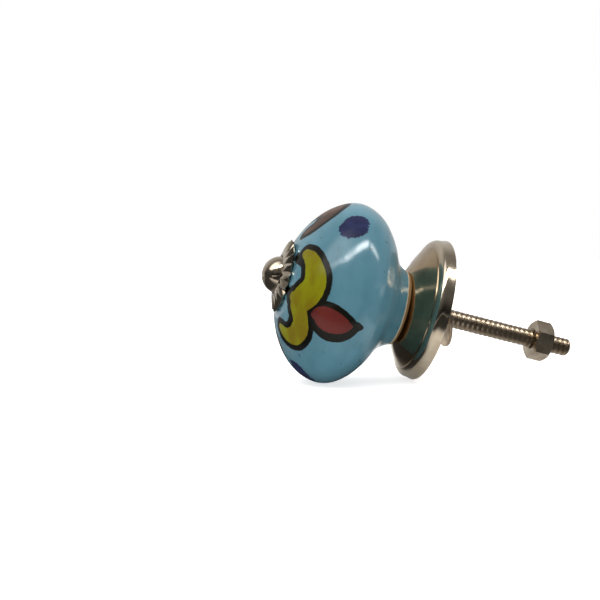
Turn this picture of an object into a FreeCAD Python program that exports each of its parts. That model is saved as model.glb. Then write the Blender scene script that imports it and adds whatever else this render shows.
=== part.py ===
import FreeCAD, Part

import math
import os

# Cabinet knob: a painted ceramic body with a pleated metal cap in front, a
# pressed metal rosette behind, and one long screw through all three with a
# loose washer and a nut on it. Millimetres. The origin is the centre of the
# rosette's back edge. The knob stands out towards -Y, the screw goes through
# the door towards +Y, and +Z is up.
# The pieces are loose, as they are before the nut is tightened. The rosette is
# held, the screw lies in the bottom of its hole, and the body and the washer
# hang on the screw by the play in their bores.

# Ceramic body
BODY_DIAMETER = 40.0
BODY_LENGTH = 26.1           # from the front pad to the end of the neck
BELLY_FROM_NECK_END = 13.6   # the widest circle, measured from the end of the neck
FRONT_PAD_DIAMETER = 8.7     # the flat that the cap's dish stands on
FRONT_CONE_DIAMETER = 17.0   # the shallow cone round the pad, which the cap's skirt covers
FRONT_CONE_DEPTH = 0.46
NECK_LENGTH = 3.1            # from the shoulder to the end of the neck
NECK_END_DIAMETER = 16.4
NECK_ROOT_DIAMETER = 18.8    # where the neck's cone meets the shoulder
NECK_FILLET = 1.1
NECK_EDGE_ROUND = 0.35
BODY_BORE_PLAY = 1.4         # the bore is wider than the screw by this

# Pressed backplate (rosette)
PLATE_DIAMETER = 31.6        # at the back edge
PLATE_WAIST_DIAMETER = 30.9  # the rim is drawn in a little above its edge
PLATE_RIM_HEIGHT = 2.1
PLATE_SHOULDER_DIAMETER = 29.6
PLATE_SHOULDER_HEIGHT = 2.95
PLATE_SHOULDER_BULGE = 0.28  # share of the way in at half of the shoulder's height
PLATE_STEP_DIAMETER = 25.0   # the fine step that runs round the dome
PLATE_STEP_HEIGHT = 4.0
PLATE_STEP_DEPTH = 0.22
PLATE_CROWN_DIAMETER = 15.6
PLATE_CROWN_EDGE_HEIGHT = 6.6
PLATE_DOME_SAG = 0.06        # how hollow the dome's flank is, as a share of its width
PLATE_SEAT_DIAMETER = 9.0    # the flat that the neck stands on
PLATE_HEIGHT = 7.1
PLATE_SHEET = 0.6
PLATE_BORE_PLAY = 1.2        # the hole is wider than the screw by this

# Pleated front cap
CAP_PLEATS = 20
CAP_TIP_DIAMETER = 16.1      # over the tips of the teeth
CAP_NOTCH_DIAMETER = 14.6    # in the notches between them
CAP_DISH_PLAY = 0.3          # the dish that takes the screw's head is wider by this
CAP_LIP_HEIGHT = 1.55        # the dish's lip, where the pleats start, above the pad
CAP_TIP_HEIGHT = 0.35        # the front of the tips above the pad
CAP_NOTCH_HEIGHT = 0.1       # the front of the notches above the pad
CAP_SHEET = 0.3
CAP_BORE_PLAY = 0.6

# Screw
SCREW_DIAMETER = 4.0
SCREW_REACH = 34.1           # how far the tip stands behind the mounting face
SCREW_TIP_CHAMFER = 0.6
HEAD_DIAMETER = 8.2
HEAD_RIM = 0.5               # the short upright edge under the dome
HEAD_DOME = 4.05

# Flat washer, hanging on the thread
WASHER_DIAMETER = 12.6
WASHER_BORE_PLAY = 1.5
WASHER_THICKNESS = 0.6
WASHER_FROM_FACE = 3.6       # its middle, behind the mounting face
WASHER_LEAN = 20.0           # degrees out of square with the screw

# Hexagon nut
NUT_ACROSS_FLATS = 7.8
NUT_THICKNESS = 3.9
NUT_FROM_FACE = 25.0         # its front face, behind the mounting face
NUT_TURN = -5.0              # degrees, of one flat from +X
NUT_CHAMFER_ANGLE = 30.0
THREAD_GAP = 0.05            # radial, between the screw and the nut

BORE_CHAMFER = 0.35
REST_GAP = 0.04              # left between a bore and the screw that it hangs on or carries


def point(radius, y):
    return FreeCAD.Vector(radius, y, 0)


def line(start, end):
    return Part.makeLine(point(*start), point(*end))


def turned(edges):
    """A solid of revolution about the Y axis from the edges of its half section."""
    face = Part.Face(Part.Wire(Part.__sortEdges__(edges)))
    solid = face.revolve(FreeCAD.Vector(0, 0, 0), FreeCAD.Vector(0, 1, 0), 360)
    if solid.Volume < 0:
        solid.reverse()
    return Part.Solid(solid)


def turned_polygon(points):
    """A solid of revolution whose half section has straight sides."""
    ends = points[1:] + points[:1]
    return turned([line(a, b) for a, b in zip(points, ends)])


def raised(solid, height):
    """The solid moved up to its own axis."""
    solid.translate(FreeCAD.Vector(0, 0, height))
    return solid


# Holes and places, worked out from the sizes

BODY_BORE = SCREW_DIAMETER + BODY_BORE_PLAY
PLATE_BORE = SCREW_DIAMETER + PLATE_BORE_PLAY
CAP_BORE = SCREW_DIAMETER + CAP_BORE_PLAY
CAP_DISH_DIAMETER = HEAD_DIAMETER + CAP_DISH_PLAY
WASHER_BORE = SCREW_DIAMETER + WASHER_BORE_PLAY

PLATE_CROWN_Y = -PLATE_HEIGHT
NECK_END_Y = PLATE_CROWN_Y
BELLY_Y = NECK_END_Y - BELLY_FROM_NECK_END
FRONT_PAD_Y = NECK_END_Y - BODY_LENGTH
CAP_FLOOR_Y = FRONT_PAD_Y - CAP_SHEET
CAP_LIP_Y = FRONT_PAD_Y - CAP_LIP_HEIGHT
HEAD_TOP_Y = CAP_FLOOR_Y - HEAD_RIM - HEAD_DOME
SCREW_Z = REST_GAP - PLATE_BORE_PLAY / 2
BODY_Z = SCREW_Z + REST_GAP - BODY_BORE_PLAY / 2


def ellipse_arc(end):
    """A quarter of the body's outline, cut short: an ellipse from the widest circle to this end of it."""
    radius = BODY_DIAMETER / 2
    turn = math.acos(end[0] / radius)
    depth = (end[1] - BELLY_Y) / math.sin(turn)
    ellipse = Part.Ellipse(point(radius, BELLY_Y), point(0, BELLY_Y + depth), point(0, BELLY_Y))
    return Part.ArcOfEllipse(ellipse, 0, turn).toShape()


def ceramic_body():
    """The turned body: two flattened half rounds, a conical neck and a bore right through."""
    pad_edge = (FRONT_PAD_DIAMETER / 2, FRONT_PAD_Y)
    cone_edge = (FRONT_CONE_DIAMETER / 2, FRONT_PAD_Y + FRONT_CONE_DEPTH)
    root = (NECK_ROOT_DIAMETER / 2, NECK_END_Y - NECK_LENGTH)
    neck_end = (NECK_END_DIAMETER / 2, NECK_END_Y)
    bore = BODY_BORE / 2
    solid = turned([
        line((bore, FRONT_PAD_Y), pad_edge),
        line(pad_edge, cone_edge),
        ellipse_arc(cone_edge),
        ellipse_arc(root),
        line(root, neck_end),
        line(neck_end, (bore, NECK_END_Y)),
        line((bore, NECK_END_Y), (bore, FRONT_PAD_Y)),
    ])
    solid = solid.makeFillet(NECK_FILLET, circles(solid, *root))
    solid = solid.makeFillet(NECK_EDGE_ROUND, circles(solid, *neck_end))
    return raised(solid, BODY_Z)


def circles(solid, radius, y):
    """The round edges of this radius at this place along the axis."""
    found = []
    for edge in solid.Edges:
        curve = edge.Curve
        if isinstance(curve, Part.Circle) and abs(curve.Radius - radius) < 0.001:
            if abs(curve.Center.y - y) < 0.001:
                found.append(edge)
    return found


def through(points):
    """A smooth curve through points of the half section."""
    curve = Part.BSplineCurve()
    curve.interpolate([point(*p) for p in points])
    return curve.toShape()


def plate_section(inset):
    """The rosette's outer line, or its inner one where inset is the sheet.

    It runs from the back edge, up the drawn-in rim, over the rounded shoulder,
    up the dome past the fine step and over the crown to the flat seat.
    """
    edge = PLATE_DIAMETER / 2 - inset
    waist = PLATE_WAIST_DIAMETER / 2 - inset
    shoulder = PLATE_SHOULDER_DIAMETER / 2 - inset / 2
    step = PLATE_STEP_DIAMETER / 2 - inset / 2
    crown = PLATE_CROWN_DIAMETER / 2 - inset / 2
    seat = PLATE_SEAT_DIAMETER / 2 - inset / 4
    rim_y = -PLATE_RIM_HEIGHT + inset / 2
    shoulder_y = -PLATE_SHOULDER_HEIGHT + inset
    step_y = -PLATE_STEP_HEIGHT + inset
    crown_y = -PLATE_CROWN_EDGE_HEIGHT + inset
    seat_y = -PLATE_HEIGHT + inset
    # the inside of the sheet has no step
    above_step_y = step_y - PLATE_STEP_DEPTH if inset == 0 else step_y
    sag = (step - crown) * PLATE_DOME_SAG
    shoulder_middle = (waist - (waist - shoulder) * PLATE_SHOULDER_BULGE, (rim_y + shoulder_y) / 2)
    dome_middle = ((step + crown) / 2, (above_step_y + crown_y) / 2 + sag)
    crown_middle = ((crown + seat) / 2, (crown_y + 3 * seat_y) / 4)
    edges = [
        Part.Arc(point(edge, 0), point(waist, rim_y / 2), point(waist, rim_y)).toShape(),
        through([(waist, rim_y), shoulder_middle, (shoulder, shoulder_y)]),
        line((shoulder, shoulder_y), (step, step_y)),
        through([(step, above_step_y), dome_middle, (crown, crown_y), crown_middle, (seat, seat_y)]),
        line((seat, seat_y), (PLATE_BORE / 2, seat_y)),
    ]
    if inset == 0:
        edges.append(line((step, step_y), (step, above_step_y)))
    return edges


def backplate():
    """The pressed rosette: one sheet all over, open at the back, with a hole for the screw."""
    edges = plate_section(0) + plate_section(PLATE_SHEET)
    edges.append(line((PLATE_DIAMETER / 2, 0), (PLATE_DIAMETER / 2 - PLATE_SHEET, 0)))
    edges.append(line((PLATE_BORE / 2, -PLATE_HEIGHT), (PLATE_BORE / 2, -PLATE_HEIGHT + PLATE_SHEET)))
    return turned(edges)


def cap_ring(radius_tip, y_tip, radius_notch, y_notch):
    """The points of a pleated edge: a tip and a notch in turn, all the way round."""
    points = []
    for i in range(2 * CAP_PLEATS):
        angle = math.pi * i / CAP_PLEATS
        radius, y = (radius_tip, y_tip) if i % 2 == 0 else (radius_notch, y_notch)
        points.append(FreeCAD.Vector(radius * math.cos(angle), y, radius * math.sin(angle)))
    return points


def band(first, second):
    """Flat triangles between two rings of points, as folded sheet lies."""
    faces = []
    count = len(first)
    for i in range(count):
        j = (i + 1) % count
        for corners in ((first[i], first[j], second[i]), (first[j], second[j], second[i])):
            faces.append(Part.Face(Part.makePolygon(list(corners) + [corners[0]])))
    return faces


def front_cap():
    """The pleated cap: a dish for the screw's head, its lip, and a skirt of sharp folds."""
    dish = CAP_DISH_DIAMETER / 2
    lip = dish + CAP_SHEET
    inside_wall = dish + CAP_SHEET / 2
    tip = CAP_TIP_DIAMETER / 2
    notch = CAP_NOTCH_DIAMETER / 2
    thinner = CAP_SHEET / 3
    tip_y = FRONT_PAD_Y - CAP_TIP_HEIGHT
    notch_y = FRONT_PAD_Y - CAP_NOTCH_HEIGHT
    # the skirt's two sheet faces, each from the lip to the zigzag edge
    outer_top = cap_ring(lip, CAP_LIP_Y, lip, CAP_LIP_Y)
    outer_edge = cap_ring(tip, tip_y, notch, notch_y)
    inner_edge = cap_ring(tip - thinner, tip_y + CAP_SHEET, notch - thinner, notch_y + CAP_SHEET)
    inner_top = cap_ring(inside_wall, CAP_LIP_Y + CAP_SHEET, inside_wall, CAP_LIP_Y + CAP_SHEET)
    faces = band(outer_top, outer_edge) + band(outer_edge, inner_edge)
    faces += band(inner_edge, inner_top) + band(inner_top, outer_top)
    skirt = Part.Solid(Part.Shell(faces))
    if skirt.Volume < 0:
        skirt.reverse()
    # the dish's wall holds the skirt's upper end, so the two fuse into one pressing
    dish_wall = turned_polygon([
        (CAP_BORE / 2, CAP_FLOOR_Y),
        (dish, CAP_FLOOR_Y),
        (dish, CAP_LIP_Y),
        (lip, CAP_LIP_Y),
        (lip, FRONT_PAD_Y),
        (CAP_BORE / 2, FRONT_PAD_Y),
    ])
    return raised(skirt.fuse(dish_wall).removeSplitter(), SCREW_Z)


def screw():
    """The long machine screw: domed head in front, plain rod to the chamfered tip."""
    head = HEAD_DIAMETER / 2
    rod = SCREW_DIAMETER / 2
    rim_y = CAP_FLOOR_Y - HEAD_RIM
    # the dome is part of a ball, and this point is halfway along its outline
    ball = (head ** 2 + HEAD_DOME ** 2) / (2 * HEAD_DOME)
    half_turn = math.atan2(HEAD_DOME, head)
    middle = point(ball * math.sin(half_turn), HEAD_TOP_Y + ball * (1 - math.cos(half_turn)))
    tip = rod - SCREW_TIP_CHAMFER
    chamfer_y = SCREW_REACH - SCREW_TIP_CHAMFER
    solid = turned([
        Part.Arc(point(head, rim_y), middle, point(0, HEAD_TOP_Y)).toShape(),
        line((head, rim_y), (head, CAP_FLOOR_Y)),
        line((head, CAP_FLOOR_Y), (rod, CAP_FLOOR_Y)),
        line((rod, CAP_FLOOR_Y), (rod, chamfer_y)),
        line((rod, chamfer_y), (tip, SCREW_REACH)),
        line((tip, SCREW_REACH), (0, SCREW_REACH)),
        line((0, SCREW_REACH), (0, HEAD_TOP_Y)),
    ])
    return raised(solid, SCREW_Z)


def flat_washer():
    """The thin stamped washer, hung by its bore on the screw with its foot swung away from the door."""
    half = WASHER_THICKNESS / 2
    ring = turned_polygon([
        (WASHER_BORE / 2, -half),
        (WASHER_DIAMETER / 2, -half),
        (WASHER_DIAMETER / 2, half),
        (WASHER_BORE / 2, half),
    ])
    lean = math.radians(WASHER_LEAN)
    clear_above = WASHER_BORE / 2 * math.cos(lean) - half * math.sin(lean)
    drop = clear_above - SCREW_DIAMETER / 2 - REST_GAP
    ring.rotate(FreeCAD.Vector(0, 0, 0), FreeCAD.Vector(1, 0, 0), WASHER_LEAN)
    ring.translate(FreeCAD.Vector(0, WASHER_FROM_FACE, 0))
    return raised(ring, SCREW_Z - drop)


def hex_nut():
    """The hexagon nut: six flats, both faces turned to a cone at the corners, a chamfered thread."""
    corner = NUT_ACROSS_FLATS / 2 / math.cos(math.pi / 6)
    points = []
    for i in range(7):
        angle = math.radians(30 + 60 * i + NUT_TURN)
        points.append(FreeCAD.Vector(corner * math.cos(angle), NUT_FROM_FACE, corner * math.sin(angle)))
    prism = Part.Face(Part.makePolygon(points)).extrude(FreeCAD.Vector(0, NUT_THICKNESS, 0))
    back = NUT_FROM_FACE + NUT_THICKNESS
    rise = (corner - NUT_ACROSS_FLATS / 2) * math.tan(math.radians(NUT_CHAMFER_ANGLE))
    cone = turned_polygon([
        (0, NUT_FROM_FACE),
        (NUT_ACROSS_FLATS / 2, NUT_FROM_FACE),
        (corner, NUT_FROM_FACE + rise),
        (corner, back - rise),
        (NUT_ACROSS_FLATS / 2, back),
        (0, back),
    ])
    bore = SCREW_DIAMETER / 2 + THREAD_GAP
    thread = turned_polygon([
        (0, NUT_FROM_FACE - 1),
        (bore + BORE_CHAMFER + 1, NUT_FROM_FACE - 1),
        (bore + BORE_CHAMFER, NUT_FROM_FACE),
        (bore, NUT_FROM_FACE + BORE_CHAMFER),
        (bore, back - BORE_CHAMFER),
        (bore + BORE_CHAMFER, back),
        (bore + BORE_CHAMFER + 1, back + 1),
        (0, back + 1),
    ])
    return raised(prism.common(cone).cut(thread), SCREW_Z)


PIECES = {
    "ceramic_body": ceramic_body,
    "front_cap": front_cap,
    "screw": screw,
    "backplate": backplate,
    "flat_washer": flat_washer,
    "hex_nut": hex_nut,
}


def main():
    os.makedirs("parts", exist_ok=True)
    for name, make in PIECES.items():
        shape = make()
        if len(shape.Solids) == 1:
            shape = shape.Solids[0]
        print(name, len(shape.Solids), "solid", shape.isValid(), "volume %.2f mm3" % shape.Volume)
        shape.exportStep(os.path.join("parts", name + ".step"))


main()
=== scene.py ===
import math

import bmesh
import bpy
import numpy as np
from mathutils import Matrix, Vector


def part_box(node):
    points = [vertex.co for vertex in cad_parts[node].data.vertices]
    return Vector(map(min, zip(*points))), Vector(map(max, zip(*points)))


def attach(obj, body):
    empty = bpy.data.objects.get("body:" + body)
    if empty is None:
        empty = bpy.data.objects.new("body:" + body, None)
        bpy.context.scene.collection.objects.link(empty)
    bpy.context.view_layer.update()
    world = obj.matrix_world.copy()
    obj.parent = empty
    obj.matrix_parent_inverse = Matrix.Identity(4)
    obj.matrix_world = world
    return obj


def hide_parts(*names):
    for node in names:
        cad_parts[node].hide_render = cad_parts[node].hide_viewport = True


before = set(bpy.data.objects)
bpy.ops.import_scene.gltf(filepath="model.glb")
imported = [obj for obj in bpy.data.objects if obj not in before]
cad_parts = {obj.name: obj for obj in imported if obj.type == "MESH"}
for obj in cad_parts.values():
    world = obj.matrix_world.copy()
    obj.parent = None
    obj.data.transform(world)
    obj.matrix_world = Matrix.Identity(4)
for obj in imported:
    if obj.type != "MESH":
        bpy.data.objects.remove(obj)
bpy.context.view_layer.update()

# The looks of a painted ceramic cabinet knob: glazed body, pleated cap, long
# threaded screw, stepped rosette, loose washer and nut. Sizes here are in
# millimetres and are turned into metres when a mesh is made. The screw runs
# along Y, the knob's front faces -Y, and +Z is up.

MM = 0.001


def node_box(name):
    """The lowest and highest corners of a CAD node, in millimetres."""
    low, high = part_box(name)
    return Vector(low) / MM, Vector(high) / MM


def srgb(red, green, blue):
    """A colour as a screen shows it, 0 to 255, as Blender's linear colour."""
    linear = []
    for level in (red, green, blue):
        share = level / 255
        linear.append(share / 12.92 if share < 0.04045 else ((share + 0.055) / 1.055) ** 2.4)
    return (*linear, 1.0)


def eased(value, low, high):
    """A soft step: 0 up to the low level, 1 from the high level on."""
    share = np.clip((value - low) / (high - low), 0, 1)
    return share ** 2 * (3 - 2 * share)


# Outlines and turned meshes

def rounded(corners, steps=6):
    """Points (radius, y) of an outline. A corner given as (radius, y, reach) is rounded over its reach."""
    places = [Vector(corner[:2]) for corner in corners]
    points = []
    for i, corner in enumerate(corners):
        if len(corner) == 2 or i in (0, len(corners) - 1):
            points.append(tuple(places[i]))
            continue
        start = places[i] + (places[i - 1] - places[i]).normalized() * corner[2]
        end = places[i] + (places[i + 1] - places[i]).normalized() * corner[2]
        for step in range(steps + 1):
            share = step / steps
            bend = start.lerp(places[i], share).lerp(places[i].lerp(end, share), share)
            points.append(tuple(bend))
    return points


def spaced(points, step):
    """The same outline with no two points further apart than step."""
    close = [points[0]]
    for start, end in zip(points, points[1:]):
        parts = max(1, math.ceil(math.dist(start, end) / step))
        for part in range(1, parts + 1):
            share = part / parts
            close.append((start[0] + (end[0] - start[0]) * share, start[1] + (end[1] - start[1]) * share))
    return close


def turned(name, outline, segments, reshape=None):
    """A mesh turned about Y from an outline that ends on the axis, or closes on itself in a ring.

    reshape(angle, radius, y) may give each point of a ring its own radius and y.
    """
    on_axis = outline[0][0] < 0.001
    angles = np.arange(segments) * 2 * math.pi / segments
    points = []
    rings = []
    for radius, y in outline:
        if radius < 0.001:
            rings.append([len(points)] * segments)
            points.append((0, y, 0))
            continue
        radii, heights = np.full(segments, float(radius)), np.full(segments, float(y))
        if reshape:
            radii, heights = reshape(angles, radii, heights)
        rings.append(list(range(len(points), len(points) + segments)))
        points.extend(zip(radii * np.cos(angles), heights, radii * np.sin(angles)))
    if not on_axis:
        rings.append(rings[0])
    faces = []
    for ring, following in zip(rings, rings[1:]):
        for i in range(segments):
            j = (i + 1) % segments
            corners = [ring[i], ring[j], following[j], following[i]]
            faces.append(list(dict.fromkeys(corners)))
    return shaped(name, np.array(points), faces)


def shaped(name, points, faces):
    """An object of these points, in millimetres, with its faces turned outwards."""
    mesh = bpy.data.meshes.new(name)
    mesh.from_pydata([tuple(point) for point in np.asarray(points) * MM], [], faces)
    face_outwards(mesh)
    made = bpy.data.objects.new(name, mesh)
    bpy.context.scene.collection.objects.link(made)
    return made


def face_outwards(mesh):
    work = bmesh.new()
    work.from_mesh(mesh)
    bmesh.ops.recalc_face_normals(work, faces=work.faces)
    work.to_mesh(mesh)
    work.free()

def mesh_places(mesh):
    """Where the mesh's points lie, in millimetres."""
    places = np.empty(len(mesh.vertices) * 3)
    mesh.vertices.foreach_get("co", places)
    return places.reshape(-1, 3) / MM


def set_attribute(mesh, name, values):
    """Gives each point of the mesh a number of its own."""
    attribute = mesh.attributes.new(name, "FLOAT", "POINT")
    attribute.data.foreach_set("value", np.asarray(values, dtype=np.float32))


def smooth(piece, crease):
    """Smooth shading, with edges sharper than the crease, in degrees, kept sharp."""
    piece.data.shade_smooth()
    piece.data.set_sharp_from_angle(angle=math.radians(crease))


def moved(piece, y=0, z=0, lean=0):
    """The piece's mesh leaned about X, in degrees, and put in its place. The object stays at the origin."""
    place = Matrix.Translation(Vector((0, y, z)) * MM) @ Matrix.Rotation(math.radians(lean), 4, "X")
    piece.data.transform(place)
    return piece


def dressed(piece, finish, node):
    """Gives the piece its finish, and lets it stand for its node."""
    piece.data.materials.clear()
    piece.data.materials.append(finish)
    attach(piece, "root")
    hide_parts(node)
    return piece


# Shader and geometry trees

def feed(tree, node, inputs):
    """Sets inputs of a node. A value is a constant or another node's output."""
    for key, value in inputs.items():
        if isinstance(value, bpy.types.NodeSocket):
            tree.links.new(value, node.inputs[key])
        else:
            node.inputs[key].default_value = value


def add(tree, kind, inputs=None, **settings):
    """A new node with its settings and its inputs."""
    made = tree.nodes.new(kind)
    for key, value in settings.items():
        setattr(made, key, value)
    feed(tree, made, inputs or {})
    return made


def math_node(tree, operation, first, second=0.0, clamp=False):
    return add(tree, "ShaderNodeMath", {0: first, 1: second}, operation=operation, use_clamp=clamp).outputs[0]


def plus(tree, first, second):
    return math_node(tree, "ADD", first, second)


def minus(tree, first, second):
    return math_node(tree, "SUBTRACT", first, second)


def times(tree, first, second):
    return math_node(tree, "MULTIPLY", first, second)


def ramp(tree, value, low, high, low_gives=0.0, high_gives=1.0):
    """A soft step of the value from one level to another."""
    made = add(tree, "ShaderNodeMapRange", {
        "Value": value, "From Min": low, "From Max": high, "To Min": low_gives, "To Max": high_gives,
    }, interpolation_type="SMOOTHSTEP")
    return made.outputs["Result"]


def blended(tree, share, first, second, way="MIX"):
    made = add(tree, "ShaderNodeMix", {0: share, 6: first, 7: second}, data_type="RGBA", blend_type=way)
    return made.outputs[2]


def cloud(tree, place, size, detail=3.0, roughness=0.55, stretch=(1, 1, 1), shift=(0, 0, 0)):
    """Even noise, 0 to 1, whose blotches are about size millimetres wide."""
    put = add(tree, "ShaderNodeMapping", {"Vector": place, "Location": shift, "Scale": stretch})
    made = add(tree, "ShaderNodeTexNoise", {
        "Vector": put.outputs[0], "Scale": 1 / (size * MM), "Detail": detail, "Roughness": roughness,
    })
    return made.outputs["Fac"]


def bare_material(name):
    """A new material and its tree, with no nodes yet."""
    material = bpy.data.materials.new(name)
    material.use_nodes = True
    material.node_tree.nodes.clear()
    return material, material.node_tree


def new_material(name):
    material, tree = bare_material(name)
    shader = add(tree, "ShaderNodeBsdfPrincipled")
    add(tree, "ShaderNodeOutputMaterial", {"Surface": shader.outputs[0]})
    return material, tree, shader


def object_place(tree):
    return add(tree, "ShaderNodeTexCoord").outputs["Object"]


def shader_group(name, inputs, outputs):
    """A node group with named inputs and outputs, and its two end nodes."""
    group = bpy.data.node_groups.new(name, "ShaderNodeTree")
    for label, kind in inputs:
        group.interface.new_socket(name=label, in_out="INPUT", socket_type=kind)
    for label, kind in outputs:
        group.interface.new_socket(name=label, in_out="OUTPUT", socket_type=kind)
    return group, add(group, "NodeGroupInput"), add(group, "NodeGroupOutput")


def geometry_tree(name, sizes):
    """A geometry tree with one named number for each size, and its two end nodes."""
    tree = bpy.data.node_groups.new(name, "GeometryNodeTree")
    tree.interface.new_socket(name="Geometry", in_out="INPUT", socket_type="NodeSocketGeometry")
    tree.interface.new_socket(name="Finish", in_out="INPUT", socket_type="NodeSocketMaterial")
    for label in sizes:
        tree.interface.new_socket(name=label, in_out="INPUT", socket_type="NodeSocketFloat")
    tree.interface.new_socket(name="Geometry", in_out="OUTPUT", socket_type="NodeSocketGeometry")
    return tree, add(tree, "NodeGroupInput"), add(tree, "NodeGroupOutput")


def grown(piece, tree, finish, sizes):
    """Runs a geometry tree on the piece and keeps the result as a plain mesh."""
    modifier = piece.modifiers.new(tree.name, "NODES")
    modifier.node_group = tree
    for item in tree.interface.items_tree:
        if item.in_out == "INPUT" and item.name in sizes:
            modifier[item.identifier] = float(sizes[item.name])
        if item.in_out == "INPUT" and item.name == "Finish":
            modifier[item.identifier] = finish
    depsgraph = bpy.context.evaluated_depsgraph_get()
    mesh = bpy.data.meshes.new_from_object(piece.evaluated_get(depsgraph))
    piece.modifiers.clear()
    piece.data = mesh
    face_outwards(mesh)
    return piece


# Painted decoration. Each stroke of the brush is a run of round dabs, given as
# (out, across, width): the way out from the middle of the knob's front along
# the glaze, the way to the side, and half the width that the brush leaves. The
# decoration is three scrolls, each with its own leaf, and three dots.

INK_WIDTH = 1.35
DABS_PER_STEP = 14

YELLOW_FACES = -18.0
YELLOW_SCROLL = [
    (7.4, 9.2, 1.0), (9.8, 9.2, 1.6), (12.3, 8.2, 2.2), (14.7, 6.0, 2.9), (14.9, 3.2, 3.15),
    (13.0, 0.0, 2.8), (13.9, -1.8, 2.45), (14.8, -3.6, 2.35), (14.8, -5.3, 2.4), (13.3, -7.5, 2.15),
    (10.7, -8.5, 1.6), (8.4, -8.3, 1.2), (6.9, -7.9, 0.7),
]
YELLOW_CUSP = [(13.0, 0.0, 2.6), (11.6, 0.1, 1.7), (10.4, 0.1, 1.0)]
YELLOW_STEM = [(10.4, 0.0, 1.4), (9.0, 0.0, 1.2), (7.8, 0.2, 1.0), (6.4, 0.3, 0.9)]
YELLOW_SHADE = [(9.0, 10.6, 1.2), (12.0, 10.1, 1.5), (14.8, 8.8, 1.4), (16.6, 7.5, 1.0)]
YELLOW_POCKET_UP = [(5.0, 7.2, 1.0), (6.8, 7.2, 1.05), (8.6, 7.2, 0.9), (10.4, 6.7, 0.75), (11.6, 5.8, 0.6)]
YELLOW_POCKET_DOWN = [
    (9.0, -1.0, 0.9), (10.6, -1.9, 0.9), (11.6, -3.2, 1.0), (11.7, -4.6, 1.05), (11.0, -6.0, 0.9),
    (9.4, -6.7, 0.7), (7.6, -6.7, 0.5),
]

BROWN_FACES = 103.0
BROWN_SCROLL = [
    (10.4, -6.0, 0.7), (11.9, -8.3, 1.4), (14.9, -9.1, 2.0), (17.9, -7.5, 2.5), (18.7, -4.9, 2.7),
    (17.4, -1.0, 2.7), (17.7, 4.6, 2.9), (16.4, 8.5, 2.3), (13.2, 10.1, 1.9), (10.3, 9.5, 1.5),
    (9.3, 7.4, 0.7),
]
BROWN_CUSP = [(17.2, 0.5, 2.6), (15.3, -0.1, 1.4), (13.8, -0.6, 0.4)]
BROWN_STEM = [(13.6, -0.6, 1.6), (11.5, -0.2, 0.9), (8.9, 0.0, 0.5)]

RED_FACES = 221.0
RED_SCROLL = [
    (9.5, 9.0, 0.8), (11.4, 10.0, 1.5), (14.9, 9.3, 2.4), (16.7, 6.6, 2.8), (16.2, 2.4, 2.6),
    (16.1, -1.1, 2.3), (17.8, -4.5, 2.4), (16.4, -7.9, 2.4), (13.1, -9.1, 2.0), (10.3, -8.1, 0.8),
]
RED_CUSP = [(15.3, 0.8, 2.2), (12.8, 0.5, 1.4), (11.1, 0.3, 0.4)]
RED_STEM = [(11.2, 0.3, 1.4), (9.9, 0.1, 0.9), (8.8, 0.0, 0.6)]

LEAF = [
    (17.9, -0.6, 0.7), (19.4, -0.1, 1.8), (21.5, -0.3, 2.9), (23.6, -0.4, 2.4), (25.2, -0.2, 1.3),
    (26.3, 0.1, 0.4),
]
LEAF_TIP = [(25.4, 0.2, 1.9), (27.2, 0.1, 1.5), (28.3, 0.1, 0.85)]
LEAF_SHADE = [(19.6, -2.9, 1.4), (21.5, -3.8, 1.6), (23.8, -3.5, 1.7), (25.8, -2.1, 1.6), (27.0, -0.6, 1.2)]

DOT_UP = [(23.5, 1.3, 2.7), (22.9, -0.8, 3.1), (22.8, -2.0, 2.5)]
DOT_UP_FACES = 47.0
DOT_DOWN = [(20.6, 0.2, 2.7), (22.8, -0.9, 2.6)]
DOT_DOWN_FACES = -78.0
DOT_AWAY = [(21.2, 0.8, 2.9), (23.2, -0.4, 2.7)]
DOT_AWAY_FACES = 165.0


def brushed(place, stroke, faces):
    """How far each place is from the edge of a stroke, in millimetres, and below 0 inside it."""
    turn = math.radians(faces)
    dabs = np.array(stroke)
    steps = np.arange(len(dabs))
    fine = np.linspace(0, len(dabs) - 1, (len(dabs) - 1) * DABS_PER_STEP + 1)
    out, across, width = (smooth_through(steps, dabs[:, i], fine) for i in range(3))
    x = out * math.cos(turn) - across * math.sin(turn)
    z = out * math.sin(turn) + across * math.cos(turn)
    nearest = np.full(len(place), 99.0)
    for dab_x, dab_z, dab_width in zip(x, z, width):
        away = np.hypot(place[:, 0] - dab_x, place[:, 1] - dab_z) - max(dab_width, 0.05)
        nearest = np.minimum(nearest, away)
    return nearest


def smooth_through(steps, values, fine):
    """Values between the steps on a smooth curve that passes through each of them."""
    slopes = np.gradient(values)
    cell = np.clip(fine.astype(int), 0, len(steps) - 2)
    share = fine - cell
    rise = values[cell + 1] - values[cell]
    start = slopes[cell] * share * (1 - share) ** 2
    end = slopes[cell + 1] * share ** 2 * (share - 1)
    return values[cell] + rise * share ** 2 * (3 - 2 * share) + start + end


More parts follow.
